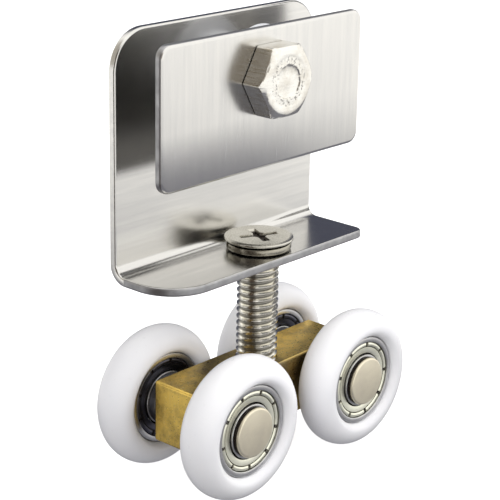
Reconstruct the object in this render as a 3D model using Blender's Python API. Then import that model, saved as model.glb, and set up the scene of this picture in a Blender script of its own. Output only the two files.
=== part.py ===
"""Four-wheel hanging roller for a glass sliding door.

A brass carriage block carries two axle pins and four nylon-tyred ball bearing
wheels. An adjusting screw rises from the block and carries a bent steel
bracket, whose upright plate and a bolted clamp plate hold the glass.

Frame: metres, +Z up, X along the track, Y across it (front is -Y). The origin
is on the adjusting screw's axis, at the height where the wheels stand.
"""

import math

import bmesh
import bpy
from mathutils import Matrix, Vector

MM = 0.001

# Wheels and bearings (a 6 mm bore, 13 mm wide bearing inside each tyre)
WHEEL_RADIUS = 10.2 * MM
WHEEL_HALF_WIDTH = 3.0 * MM
CROWN_DEPTH = 2.5 * MM
TYRE_FLANK_KNEE = 7.0 * MM
BEARING_RADIUS = 6.5 * MM
BEARING_HALF_WIDTH = 2.1 * MM
BEARING_BORE_RADIUS = 3.0 * MM
OUTER_LAND_RADIUS = 5.75 * MM
INNER_LAND_RADIUS = 3.85 * MM
BALL_CIRCLE_RADIUS = 4.8 * MM
BALL_RADIUS = 1.1 * MM
BALL_COUNT = 7
SHIELD_THICKNESS = 0.3 * MM
SHIELD_RECESS = 0.12 * MM
SEAT_GAP = 0.1 * MM
AXLE_HALF_SPACING = 12.15 * MM
WHEEL_PLANE = 8.05 * MM
AXLE_HEIGHT = WHEEL_RADIUS

# Axle pins and spacers
PIN_RADIUS = 2.9 * MM
PIN_HEAD_RADIUS = 3.55 * MM
PIN_HEAD_HEIGHT = 0.82 * MM
PIN_END_CHAMFER = 0.2 * MM
SPACER_RADIUS = 3.75 * MM

# Carriage block
BLOCK_LENGTH = 33.0 * MM
BLOCK_WIDTH = 8.2 * MM
BLOCK_HEIGHT = 9.0 * MM
BLOCK_EDGE = 0.45 * MM

# M6 thread
THREAD_PITCH = 1.0 * MM
THREAD_CREST_RADIUS = 2.95 * MM
THREAD_ROOT_RADIUS = 2.5 * MM
THREAD_HOLE_RADIUS = 3.03 * MM
CLEARANCE_HOLE_RADIUS = 3.3 * MM

# Bracket and clamp
SHEET = 1.2 * MM
FLANGE_TOP = AXLE_HEIGHT + 20.87 * MM
FLANGE_FRONT = 5.25 * MM
PLATE_FRONT = 5.4 * MM
BRACKET_LEFT = -22.35 * MM
BRACKET_RIGHT = 17.5 * MM
BRACKET_TOP = AXLE_HEIGHT + 53.65 * MM
BEND_RADIUS = 1.5 * MM
TOP_CORNER_RADIUS = 5.5 * MM
FLANGE_LEFT_CORNER_RADIUS = 6.5 * MM
FLANGE_RIGHT_CORNER_RADIUS = 1.6 * MM
GLASS_GAP = 5.5 * MM
CLAMP_LEFT = -20.6 * MM
CLAMP_RIGHT = 19.9 * MM
CLAMP_BOTTOM = AXLE_HEIGHT + 32.85 * MM
CLAMP_TOP = AXLE_HEIGHT + 52.45 * MM
CLAMP_CORNER_RADIUS = 1.8 * MM
CLAMP_BACK = PLATE_FRONT - GLASS_GAP
CLAMP_FRONT = CLAMP_BACK - SHEET
BOLT_HEIGHT = AXLE_HEIGHT + 45.4 * MM
SHEET_EDGE = 0.25 * MM

# Screw head and spring washer
HEAD_TOP = FLANGE_TOP + 1.9 * MM
HEAD_RADIUS = 4.87 * MM
HEAD_RIM = 0.6 * MM
HEAD_CHAMFER = 0.22 * MM
SCREW_LENGTH = 25.0 * MM
RECESS_SPAN = 5.8 * MM
RECESS_WIDTH = 1.15 * MM
RECESS_DEPTH = 1.7 * MM
RECESS_TURN = math.radians(-25)
WASHER_RADIUS = 4.6 * MM
WASHER_BORE_RADIUS = 3.1 * MM
WASHER_THICKNESS = 0.85 * MM
WASHER_RISE = 0.1 * MM
WASHER_SPLIT = math.radians(9)
WASHER_LIFT = 0.2 * MM

# Hex bolt, nut and bush
HEX_ACROSS_FLATS = 9.6 * MM
HEX_HEIGHT = 3.4 * MM
BOLT_SHANK = 12.0 * MM
BOLT_RECESS_RADIUS = 2.0 * MM
BOLT_RECESS_DEPTH = 0.3 * MM
NUT_HEIGHT = 4.4 * MM
BUSH_FLANGE_RADIUS = 7.1 * MM
BUSH_FLANGE = 0.85 * MM
BUSH_SLEEVE_RADIUS = 5.0 * MM
FIT_GAP = 0.1 * MM

ALONG_Y = Matrix.Rotation(math.radians(90), 4, "X")


def clear_scene():
    for old in list(bpy.data.objects):
        bpy.data.objects.remove(old, do_unlink=True)


def make_material(name, colour, metallic, roughness):
    material = bpy.data.materials.new(name)
    material.use_nodes = True
    shader = material.node_tree.nodes["Principled BSDF"]
    shader.inputs["Base Color"].default_value = (*colour, 1.0)
    shader.inputs["Metallic"].default_value = metallic
    shader.inputs["Roughness"].default_value = roughness
    material.diffuse_color = (*colour, 1.0)
    return material


def add_object(name, mesh, material, location=(0, 0, 0), parent=None):
    """Puts a mesh in the scene at a place given in the world frame."""
    obj = bpy.data.objects.new(name, mesh)
    bpy.context.scene.collection.objects.link(obj)
    if not mesh.materials:
        mesh.materials.append(material)
    if parent is not None:
        obj.parent = parent
        obj.matrix_parent_inverse = parent.matrix_world.inverted()
    obj.matrix_world = Matrix.Translation(location)
    return obj


def add_pivot(name, location):
    pivot = bpy.data.objects.new(name, None)
    pivot.empty_display_size = 0.005
    pivot.matrix_world = Matrix.Translation(location)
    bpy.context.scene.collection.objects.link(pivot)
    return pivot


def finish_mesh(name, bm, sharp_angle=35):
    bmesh.ops.remove_doubles(bm, verts=bm.verts, dist=1e-7)
    bmesh.ops.recalc_face_normals(bm, faces=bm.faces)
    mesh = bpy.data.meshes.new(name)
    bm.to_mesh(mesh)
    bm.free()
    mesh.shade_smooth()
    mesh.set_sharp_from_angle(angle=math.radians(sharp_angle))
    return mesh


def turned_mesh(name, outline, steps, turn=None):
    """Revolves (radius, height) points about Z; radius 0 marks a pole.

    A closed outline makes a ring, and one that starts and ends at radius 0
    makes a solid. The optional matrix then lays the piece along another axis.
    """
    bm = bmesh.new()
    solid = outline[0][0] == 0
    rings = []
    for radius, height in outline:
        if radius == 0:
            rings.append([bm.verts.new((0, 0, height))] * steps)
            continue
        ring = []
        for step in range(steps):
            angle = 2 * math.pi * step / steps
            ring.append(bm.verts.new((radius * math.cos(angle), radius * math.sin(angle), height)))
        rings.append(ring)
    pairs = list(zip(rings, rings[1:]))
    if not solid:
        pairs.append((rings[-1], rings[0]))
    for lower, upper in pairs:
        for step in range(steps):
            after = (step + 1) % steps
            corners = [lower[step], lower[after], upper[after], upper[step]]
            face = []
            for corner in corners:
                if corner not in face:
                    face.append(corner)
            if len(face) > 2:
                bm.faces.new(face)
    if turn is not None:
        bmesh.ops.transform(bm, matrix=turn, verts=bm.verts)
    return finish_mesh(name, bm)


def arc(centre, radius, start, end, steps):
    """Points on a circular arc, angles in degrees."""
    points = []
    for step in range(steps + 1):
        angle = math.radians(start + (end - start) * step / steps)
        points.append((centre[0] + radius * math.cos(angle), centre[1] + radius * math.sin(angle)))
    return points


def rounded_rectangle(left, right, low, high, radii, steps):
    """Counter-clockwise outline; radii run from the low right corner round to the low left."""
    corners = [(right, low, 270), (right, high, 0), (left, high, 90), (left, low, 180)]
    points = []
    for (x, y, start), radius in zip(corners, radii):
        if radius == 0:
            points.append((x, y))
            continue
        centre = (x - radius if x == right else x + radius, y + radius if y == low else y - radius)
        points += arc(centre, radius, start, start + 90, steps)
    return points


def prism_mesh(name, outline, thickness, place):
    """Extrudes an XY outline upwards and moves it with the matrix."""
    bm = bmesh.new()
    base = bm.faces.new([bm.verts.new((x, y, 0)) for x, y in outline])
    made = bmesh.ops.extrude_face_region(bm, geom=[base])
    top = [item for item in made["geom"] if isinstance(item, bmesh.types.BMVert)]
    bmesh.ops.translate(bm, vec=(0, 0, thickness), verts=top)
    bmesh.ops.transform(bm, matrix=place, verts=bm.verts)
    return finish_mesh(name, bm, 30)


def add_cutter(name, mesh, location=(0, 0, 0)):
    cutter = bpy.data.objects.new(name, mesh)
    bpy.context.scene.collection.objects.link(cutter)
    cutter.location = location
    cutter.hide_render = True
    cutter.display_type = "WIRE"
    return cutter


def cut(obj, cutter):
    modifier = obj.modifiers.new("Cut " + cutter.name, "BOOLEAN")
    modifier.operation = "DIFFERENCE"
    modifier.solver = "EXACT"
    modifier.object = cutter


def soften(obj, width, segments=1, angle=40):
    modifier = obj.modifiers.new("Edges", "BEVEL")
    modifier.width = width
    modifier.segments = segments
    modifier.limit_method = "ANGLE"
    modifier.angle_limit = math.radians(angle)
    modifier.harden_normals = False


def round_cutter(name, radius, length, location, along_y, steps=32):
    outline = [(0, -length / 2), (radius, -length / 2), (radius, length / 2), (0, length / 2)]
    return add_cutter(name, turned_mesh(name, outline, steps, ALONG_Y if along_y else None), location)


def build_bracket(steel):
    """Bent sheet: a flange on the screw and an upright plate behind the glass."""
    outer = BEND_RADIUS + SHEET
    bend_centre = (PLATE_FRONT - BEND_RADIUS, FLANGE_TOP + BEND_RADIUS)
    inner_bend = arc(bend_centre, BEND_RADIUS, 270, 360, 5)
    outer_bend = arc(bend_centre, outer, 360, 270, 5)
    section = [(-FLANGE_FRONT, FLANGE_TOP - SHEET), (-FLANGE_FRONT, FLANGE_TOP)]
    section += inner_bend
    section += [(PLATE_FRONT, BRACKET_TOP), (PLATE_FRONT + SHEET, BRACKET_TOP)]
    section += outer_bend
    # The section's (Y, Z) runs along X.
    lay = Matrix(((0, 0, 1, BRACKET_LEFT), (1, 0, 0, 0), (0, 1, 0, 0), (0, 0, 0, 1)))
    mesh = prism_mesh("bracket", section, BRACKET_RIGHT - BRACKET_LEFT, lay)
    bracket = add_object("bracket", mesh, steel)
    margin = 2 * MM
    for side, edge in (("left", BRACKET_LEFT), ("right", BRACKET_RIGHT)):
        inward = 1 if side == "left" else -1
        for level, radius, along_y in (
            ("top", TOP_CORNER_RADIUS, True),
            ("flange", FLANGE_LEFT_CORNER_RADIUS if side == "left" else FLANGE_RIGHT_CORNER_RADIUS, False),
        ):
            corner = corner_cutter(radius, margin)
            tool = add_cutter(f"{side} {level} corner", corner)
            if along_y:
                # Corner of the upright: outward X, then up.
                tool.matrix_world = Matrix(
                    (
                        (-inward, 0, 0, edge + inward * radius),
                        (0, 0, inward, PLATE_FRONT + SHEET / 2),
                        (0, 1, 0, BRACKET_TOP - radius),
                        (0, 0, 0, 1),
                    )
                )
            else:
                # Corner of the flange: outward X, then forward.
                tool.matrix_world = Matrix(
                    (
                        (-inward, 0, 0, edge + inward * radius),
                        (0, -1, 0, -FLANGE_FRONT + radius),
                        (0, 0, inward, FLANGE_TOP - SHEET / 2),
                        (0, 0, 0, 1),
                    )
                )
            cut(bracket, tool)
    cut(bracket, round_cutter("flange hole", THREAD_HOLE_RADIUS, 4 * SHEET, (0, 0, FLANGE_TOP), False))
    bolt_place = (0, PLATE_FRONT, BOLT_HEIGHT)
    cut(bracket, round_cutter("bolt hole", THREAD_HOLE_RADIUS, 4 * SHEET, bolt_place, True))
    soften(bracket, SHEET_EDGE)
    return bracket


def corner_cutter(radius, margin):
    """The waste outside a quarter round, which is centred on the origin, in X and Y above it."""
    outline = arc((0, 0), radius, 0, 90, 7)
    outline += [(-margin, radius), (-margin, radius + margin)]
    outline += [(radius + margin, radius + margin), (radius + margin, -margin), (radius, -margin)]
    return prism_mesh("corner waste", outline, 6 * SHEET, Matrix.Translation((0, 0, -3 * SHEET)))


def build_clamp_plate(steel):
    radii = [CLAMP_CORNER_RADIUS] * 4
    low = CLAMP_BOTTOM - BOLT_HEIGHT
    high = CLAMP_TOP - BOLT_HEIGHT
    outline = rounded_rectangle(CLAMP_LEFT, CLAMP_RIGHT, low, high, radii, 4)
    mesh = prism_mesh("clamp_plate", outline, SHEET, ALONG_Y @ Matrix.Translation((0, 0, -SHEET / 2)))
    plate = add_object("clamp_plate", mesh, steel, (0, CLAMP_BACK - SHEET / 2, BOLT_HEIGHT))
    place = (0, CLAMP_BACK, BOLT_HEIGHT)
    cut(plate, round_cutter("clamp hole", CLEARANCE_HOLE_RADIUS, 4 * SHEET, place, True))
    soften(plate, SHEET_EDGE)
    return plate


def hexagon(across_flats):
    """Corners at +X and -X, flats above and below."""
    corner = across_flats / math.sqrt(3)
    return [(corner * math.cos(math.radians(60 * k)), corner * math.sin(math.radians(60 * k))) for k in range(6)]


def chamfer_cone(name, across_flats, height, location, forward):
    """A ring that trims the corners of a hexagon to a cone at the end away from its bearing face."""
    flat = across_flats / 2 * 0.95
    reach = across_flats
    slope = math.tan(math.radians(30))
    outline = [
        (flat, height),
        (reach, height - (reach - flat) * slope),
        (reach, height + 1 * MM),
        (flat, height + 1 * MM),
    ]
    turn = ALONG_Y if forward else ALONG_Y.inverted()
    return add_cutter(name, turned_mesh(name, outline, 24, turn), location)


def build_bolt(steel):
    """Hex head in front of the clamp plate, shank through plate, bush, bracket and nut."""
    seat = CLAMP_FRONT - FIT_GAP
    place = (0, seat, BOLT_HEIGHT)
    head = prism_mesh("clamp_bolt", hexagon(HEX_ACROSS_FLATS), HEX_HEIGHT, ALONG_Y)
    bolt = add_object("clamp_bolt", head, steel, place)
    cut(bolt, chamfer_cone("bolt chamfer", HEX_ACROSS_FLATS, HEX_HEIGHT, place, True))
    recess = (0, seat - HEX_HEIGHT, BOLT_HEIGHT)
    cut(bolt, round_cutter("bolt recess", BOLT_RECESS_RADIUS, 2 * BOLT_RECESS_DEPTH, recess, True, 20))
    end = -BOLT_SHANK
    shank_outline = [
        (0, end),
        (THREAD_ROOT_RADIUS, end),
        (THREAD_CREST_RADIUS, end + (THREAD_CREST_RADIUS - THREAD_ROOT_RADIUS)),
        (THREAD_CREST_RADIUS, 0.5 * MM),
        (0, 0.5 * MM),
    ]
    shank = add_cutter("bolt shank", turned_mesh("bolt shank", shank_outline, 20, ALONG_Y), place)
    join = bolt.modifiers.new("Shank", "BOOLEAN")
    join.operation = "UNION"
    join.solver = "EXACT"
    join.object = shank
    return bolt


def build_nut(steel):
    """Nut behind the upright plate, which gives the bolt its thread."""
    front = PLATE_FRONT + SHEET + FIT_GAP
    place = (0, front, BOLT_HEIGHT)
    mesh = prism_mesh("clamp_nut", hexagon(HEX_ACROSS_FLATS), NUT_HEIGHT, ALONG_Y.inverted())
    nut = add_object("clamp_nut", mesh, steel, place)
    cut(nut, chamfer_cone("nut chamfer", HEX_ACROSS_FLATS, NUT_HEIGHT, place, False))
    hole = (0, front + NUT_HEIGHT / 2, BOLT_HEIGHT)
    cut(nut, round_cutter("nut thread", THREAD_HOLE_RADIUS, 2 * NUT_HEIGHT, hole, True, 20))
    return nut


def build_bush(nylon):
    """Flanged bush: the flange keeps the clamp plate off the glass, the sleeve lines the glass's hole."""
    back = GLASS_GAP - FIT_GAP
    outline = [
        (CLEARANCE_HOLE_RADIUS, 0),
        (BUSH_FLANGE_RADIUS, 0),
        (BUSH_FLANGE_RADIUS, -BUSH_FLANGE),
        (BUSH_SLEEVE_RADIUS, -BUSH_FLANGE),
        (BUSH_SLEEVE_RADIUS, -back + FIT_GAP),
        (CLEARANCE_HOLE_RADIUS, -back + FIT_GAP),
    ]
    mesh = turned_mesh("clamp_bush", outline, 36, ALONG_Y)
    return add_object("clamp_bush", mesh, nylon, (0, CLAMP_BACK + FIT_GAP, BOLT_HEIGHT))


def thread_radius(row):
    """Root, then a flat crest, in three rows for each turn."""
    return THREAD_ROOT_RADIUS if row % 3 == 0 else THREAD_CREST_RADIUS


def build_screw(steel):
    """Flat-headed M6 screw with a rolled thread and a cross recess; its origin is on its axis."""
    steps = 16
    base = HEAD_TOP - SCREW_LENGTH
    seat = HEAD_TOP - HEAD_RIM
    rows = int(3 * (seat - base) / THREAD_PITCH) + 4
    bm = bmesh.new()
    grid = []
    for row in range(-3, rows):
        line = []
        for step in range(steps):
            height = base + THREAD_PITCH * (row / 3 + step / steps)
            angle = 2 * math.pi * step / steps
            inside = base < height < seat
            radius = thread_radius(row) if inside else THREAD_ROOT_RADIUS
            height = min(max(height, base), seat)
            line.append(bm.verts.new((radius * math.cos(angle), radius * math.sin(angle), height)))
        grid.append(line)
    for row in range(len(grid) - 1):
        for step in range(steps - 1):
            bm.faces.new((grid[row][step], grid[row][step + 1], grid[row + 1][step + 1], grid[row + 1][step]))
        if row + 4 < len(grid):
            bm.faces.new((grid[row][steps - 1], grid[row + 3][0], grid[row + 4][0], grid[row + 1][steps - 1]))
    bmesh.ops.remove_doubles(bm, verts=bm.verts, dist=1e-6)
    bmesh.ops.dissolve_degenerate(bm, dist=1e-6, edges=bm.edges)
    close_ends(bm, base, seat)
    mesh = finish_mesh("adjusting_screw", bm, 60)
    screw = add_object("adjusting_screw", mesh, steel)
    add_screw_head(screw, seat)
    return screw


def close_ends(bm, base, seat):
    """Caps the two open loops of the thread with flat faces."""
    for level in (base, seat):
        loop = [edge for edge in bm.edges if edge.is_boundary and edge_at(edge, level)]
        if loop:
            bmesh.ops.holes_fill(bm, edges=loop, sides=0)


def edge_at(edge, level):
    return all(abs(vert.co.z - level) < 1e-6 for vert in edge.verts)


def add_screw_head(screw, seat):
    outline = [
        (0, seat - 0.3 * MM),
        (THREAD_ROOT_RADIUS - 0.1 * MM, seat - 0.3 * MM),
        (THREAD_ROOT_RADIUS - 0.1 * MM, seat),
        (HEAD_RADIUS - 0.1 * MM, seat),
        (HEAD_RADIUS, seat + 0.1 * MM),
        (HEAD_RADIUS, HEAD_TOP - HEAD_CHAMFER),
        (HEAD_RADIUS - HEAD_CHAMFER, HEAD_TOP),
        (0, HEAD_TOP),
    ]
    head = add_cutter("screw head", turned_mesh("screw head", outline, 36))
    join = screw.modifiers.new("Head", "BOOLEAN")
    join.operation = "UNION"
    join.solver = "EXACT"
    join.object = head
    for number in range(2):
        arm = add_cutter(f"recess arm {number}", recess_arm(), (0, 0, HEAD_TOP))
        arm.rotation_euler.z = RECESS_TURN + number * math.pi / 2
        cut(screw, arm)


def recess_arm():
    """A tapered bar, wide at the head's face and narrow at the bottom of the recess."""
    bm = bmesh.new()
    over = 0.2 * MM
    sizes = ((over, RECESS_SPAN, RECESS_WIDTH), (-RECESS_DEPTH, 0.4 * RECESS_SPAN, 0.7 * RECESS_WIDTH))
    levels = []
    for height, span, width in sizes:
        corners = ((-1, -1), (1, -1), (1, 1), (-1, 1))
        levels.append([bm.verts.new((x * span / 2, y * width / 2, height)) for x, y in corners])
    top, low = levels
    bm.faces.new(top)
    bm.faces.new(reversed(low))
    for side in range(4):
        after = (side + 1) % 4
        bm.faces.new((top[side], low[side], low[after], top[after]))
    return finish_mesh("recess arm", bm)


def build_spring_washer(steel):
    """Split ring of square wire whose two ends stand a little apart in height."""
    steps = 30
    low = FLANGE_TOP + WASHER_LIFT
    bm = bmesh.new()
    sections = []
    for step in range(steps + 1):
        share = step / steps
        angle = WASHER_SPLIT / 2 + (2 * math.pi - WASHER_SPLIT) * share
        angle += math.radians(150)
        rise = WASHER_RISE * share
        section = []
        for radius, height in (
            (WASHER_BORE_RADIUS, 0),
            (WASHER_RADIUS, 0),
            (WASHER_RADIUS, WASHER_THICKNESS),
            (WASHER_BORE_RADIUS, WASHER_THICKNESS),
        ):
            point = (radius * math.cos(angle), radius * math.sin(angle), low + rise + height)
            section.append(bm.verts.new(point))
        sections.append(section)
    for first, second in zip(sections, sections[1:]):
        for side in range(4):
            after = (side + 1) % 4
            bm.faces.new((first[side], first[after], second[after], second[side]))
    bm.faces.new(sections[0])
    bm.faces.new(reversed(sections[-1]))
    return add_object("spring_washer", finish_mesh("spring_washer", bm), steel)


def build_block(brass):
    """Brass bar with a threaded hole up its middle and a cross hole at each end."""
    half = BLOCK_WIDTH / 2
    rise = BLOCK_HEIGHT / 2
    section = rounded_rectangle(-half, half, -rise, rise, [0] * 4, 1)
    lay = Matrix(((0, 0, 1, -BLOCK_LENGTH / 2), (1, 0, 0, 0), (0, 1, 0, 0), (0, 0, 0, 1)))
    mesh = prism_mesh("carriage_block", section, BLOCK_LENGTH, lay)
    block = add_object("carriage_block", mesh, brass, (0, 0, AXLE_HEIGHT))
    soften(block, BLOCK_EDGE, 2)
    hole = (0, 0, AXLE_HEIGHT)
    cut(block, round_cutter("screw thread", THREAD_HOLE_RADIUS, 2 * BLOCK_HEIGHT, hole, False, 32))
    for side, x in (("left", -AXLE_HALF_SPACING), ("right", AXLE_HALF_SPACING)):
        place = (x, 0, AXLE_HEIGHT)
        cutter = round_cutter(f"{side} axle hole", PIN_RADIUS + SEAT_GAP / 2, 2 * BLOCK_WIDTH, place, True, 24)
        cut(block, cutter)
    return block


def build_axle(name, steel, x):
    """Through pin whose two ends are upset over the bearings' inner rings."""
    face = WHEEL_PLANE + BEARING_HALF_WIDTH
    under = face + 0.08 * MM
    end = face + PIN_HEAD_HEIGHT
    outline = [
        (0, -end),
        (PIN_HEAD_RADIUS - PIN_END_CHAMFER, -end),
        (PIN_HEAD_RADIUS, -end + PIN_END_CHAMFER),
        (PIN_HEAD_RADIUS, -under),
        (PIN_RADIUS, -under),
    ]
    outline += [(radius, -height) for radius, height in reversed(outline)]
    mesh = turned_mesh(name, outline, 24, ALONG_Y)
    return add_object(name, mesh, steel, (x, 0, AXLE_HEIGHT))


def spacer_mesh():
    inner = BLOCK_WIDTH / 2 + SEAT_GAP
    outer = WHEEL_PLANE - BEARING_HALF_WIDTH - SEAT_GAP
    half = (outer - inner) / 2
    bore = BEARING_BORE_RADIUS
    outline = [(bore, -half), (SPACER_RADIUS, -half), (SPACER_RADIUS, half), (bore, half)]
    return turned_mesh("spacer", outline, 24, ALONG_Y), (inner + outer) / 2


def tyre_mesh():
    """Elliptical crown whose flanks slope in to the bearing's face."""
    seat = BEARING_RADIUS + SEAT_GAP
    lip = BEARING_HALF_WIDTH + 0.05 * MM
    shoulder = WHEEL_RADIUS - CROWN_DEPTH
    crown = arc((0, 0), 1, -90, 90, 9)
    outline = [(shoulder + CROWN_DEPTH * out, WHEEL_HALF_WIDTH * side) for out, side in crown]
    flank = []
    for step in range(1, 4):
        share = step / 3
        start, knee, end = (1 - share) ** 2, 2 * share * (1 - share), share**2
        radius = start * shoulder + knee * TYRE_FLANK_KNEE + end * seat
        flank.append((radius, (start + knee) * WHEEL_HALF_WIDTH + end * lip))
    near = [(radius, -height) for radius, height in reversed(flank)]
    return turned_mesh("tyre", near + outline + flank, 32, ALONG_Y)


def outer_ring_mesh():
    half = BEARING_HALF_WIDTH
    groove = BALL_RADIUS + 0.08 * MM
    race = arc((BALL_CIRCLE_RADIUS, 0), groove, 33, -33, 2)
    outline = [(BEARING_RADIUS, -half), (BEARING_RADIUS, half), (OUTER_LAND_RADIUS, half)]
    outline += race
    outline += [(OUTER_LAND_RADIUS, -half)]
    return turned_mesh("outer ring", outline, 32, ALONG_Y)


def inner_ring_mesh():
    half = BEARING_HALF_WIDTH
    groove = BALL_RADIUS + 0.08 * MM
    race = arc((BALL_CIRCLE_RADIUS, 0), groove, 213, 147, 2)
    outline = [(BEARING_BORE_RADIUS, half), (BEARING_BORE_RADIUS, -half), (INNER_LAND_RADIUS, -half)]
    outline += race
    outline += [(INNER_LAND_RADIUS, half)]
    return turned_mesh("inner ring", outline, 24, ALONG_Y)


def shield_mesh():
    """Thin pressed disc whose outer edge sits in the outer ring and whose inner edge runs clear."""
    inner = INNER_LAND_RADIUS + 0.19 * MM
    outer = OUTER_LAND_RADIUS - 0.06 * MM
    half = SHIELD_THICKNESS / 2
    outline = [(inner, -half), (outer, -half), (outer, half), (inner, half)]
    return turned_mesh("shield", outline, 32, ALONG_Y)


def ball_cage_mesh():
    """Ring of balls threaded on their cage, as one bead chain round the bearing's axis."""
    sides = 6
    wire = 0.45 * MM
    span = 2 * math.pi / BALL_COUNT
    reach = math.asin(math.sqrt(BALL_RADIUS**2 - wire**2) / BALL_CIRCLE_RADIUS)
    places = []
    for ball in range(BALL_COUNT):
        for share in (-1, -0.55, 0, 0.55, 1):
            offset = share * reach
            distance = BALL_CIRCLE_RADIUS * math.sin(offset)
            radius = math.sqrt(max(BALL_RADIUS**2 - distance**2, wire**2))
            places.append((ball * span + offset, radius))
    bm = bmesh.new()
    rings = []
    for angle, radius in places:
        ring = []
        for side in range(sides):
            around = 2 * math.pi * side / sides
            out = BALL_CIRCLE_RADIUS + radius * math.cos(around)
            up = radius * math.sin(around)
            ring.append(bm.verts.new((out * math.cos(angle), out * math.sin(angle), up)))
        rings.append(ring)
    for number, ring in enumerate(rings):
        following = rings[(number + 1) % len(rings)]
        for side in range(sides):
            after = (side + 1) % sides
            bm.faces.new((ring[side], following[side], following[after], ring[after]))
    bmesh.ops.transform(bm, matrix=ALONG_Y, verts=bm.verts)
    return finish_mesh("ball cage", bm, 60)


def build_wheels(meshes, materials, spacer_offset):
    """Four wheels, each with its bearing; a wheel's pivot is at its centre on its axle."""
    shield_offset = BEARING_HALF_WIDTH - SHIELD_RECESS - SHIELD_THICKNESS / 2
    for end, sign_y in (("front", -1), ("rear", 1)):
        for side, sign_x in (("left", -1), ("right", 1)):
            place = Vector((sign_x * AXLE_HALF_SPACING, sign_y * WHEEL_PLANE, AXLE_HEIGHT))
            outward = Vector((0, sign_y * shield_offset, 0))
            label = f"{end}_{side}"
            pivot = add_pivot(f"{label}_pivot", place)
            for piece, offset in (
                ("tyre", Vector()),
                ("outer_ring", Vector()),
                ("inner_ring", Vector()),
                ("ball_cage", Vector()),
                ("outer_shield", outward),
                ("inner_shield", -outward),
            ):
                kind = "shield" if piece.endswith("shield") else piece
                add_object(f"{label}_{piece}", meshes[kind], materials[kind], place + offset, pivot)
            spacer_place = (place.x, sign_y * spacer_offset, AXLE_HEIGHT)
            add_object(f"{label}_spacer", meshes["spacer"], materials["spacer"], spacer_place)


def main():
    clear_scene()
    sheet_steel = make_material("brushed stainless sheet", (0.62, 0.61, 0.58), 1.0, 0.32)
    bolt_steel = make_material("bolt steel", (0.66, 0.64, 0.59), 1.0, 0.22)
    screw_steel = make_material("nickel plated screw", (0.6, 0.57, 0.5), 1.0, 0.25)
    ring_steel = make_material("bearing ring steel", (0.55, 0.55, 0.55), 1.0, 0.25)
    shield_steel = make_material("bearing shield", (0.68, 0.67, 0.58), 1.0, 0.35)
    pin_steel = make_material("axle pin steel", (0.62, 0.58, 0.5), 1.0, 0.4)
    ball_steel = make_material("ball steel", (0.5, 0.5, 0.5), 1.0, 0.15)
    brass = make_material("brass", (0.62, 0.42, 0.14), 1.0, 0.4)
    nylon = make_material("white nylon", (0.86, 0.86, 0.88), 0.0, 0.35)

    build_bracket(sheet_steel)
    build_clamp_plate(sheet_steel)
    build_bolt(bolt_steel)
    build_nut(bolt_steel)
    build_bush(nylon)
    build_screw(screw_steel)
    build_spring_washer(screw_steel)
    build_block(brass)
    build_axle("axle_left", pin_steel, -AXLE_HALF_SPACING)
    build_axle("axle_right", pin_steel, AXLE_HALF_SPACING)

    spacer, spacer_offset = spacer_mesh()
    meshes = {
        "tyre": tyre_mesh(),
        "outer_ring": outer_ring_mesh(),
        "inner_ring": inner_ring_mesh(),
        "ball_cage": ball_cage_mesh(),
        "shield": shield_mesh(),
        "spacer": spacer,
    }
    materials = {
        "tyre": nylon,
        "outer_ring": ring_steel,
        "inner_ring": ring_steel,
        "ball_cage": ball_steel,
        "shield": shield_steel,
        "spacer": ring_steel,
    }
    build_wheels(meshes, materials, spacer_offset)


main()
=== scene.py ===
import math
import random

import bmesh
import bpy
from mathutils import Matrix, Vector


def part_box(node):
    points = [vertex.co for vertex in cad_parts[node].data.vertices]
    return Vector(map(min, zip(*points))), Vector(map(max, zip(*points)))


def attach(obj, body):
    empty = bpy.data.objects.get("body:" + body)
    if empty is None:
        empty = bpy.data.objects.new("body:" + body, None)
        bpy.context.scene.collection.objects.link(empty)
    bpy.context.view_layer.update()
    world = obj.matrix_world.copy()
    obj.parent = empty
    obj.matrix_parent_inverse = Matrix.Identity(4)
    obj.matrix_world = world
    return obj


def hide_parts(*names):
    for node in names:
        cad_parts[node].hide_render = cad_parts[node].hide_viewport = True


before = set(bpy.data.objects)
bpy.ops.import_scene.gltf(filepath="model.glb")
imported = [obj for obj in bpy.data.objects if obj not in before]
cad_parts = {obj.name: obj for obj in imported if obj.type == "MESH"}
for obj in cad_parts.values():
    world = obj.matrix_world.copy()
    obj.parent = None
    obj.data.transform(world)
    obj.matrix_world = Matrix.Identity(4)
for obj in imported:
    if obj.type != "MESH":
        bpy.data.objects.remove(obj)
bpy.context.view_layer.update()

MM = 0.001
ALONG_Y = Matrix.Rotation(math.radians(90), 4, "X")  # a shape's +Z becomes -Y, the front

# The camera that gives the product shot
CAMERA_AZIMUTH = math.radians(-48.302)
CAMERA_ELEVATION = math.radians(17.979)
CAMERA_ROLL = math.radians(1.122)
CAMERA_DISTANCE = 0.21949
CAMERA_TARGET = Vector((-0.0018965, 0.0, 0.034368))
CAMERA_SENSOR = 36.0
CAMERA_LENS = 113.78
CAMERA_SHIFT = (0.0002, -0.0437)

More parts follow.
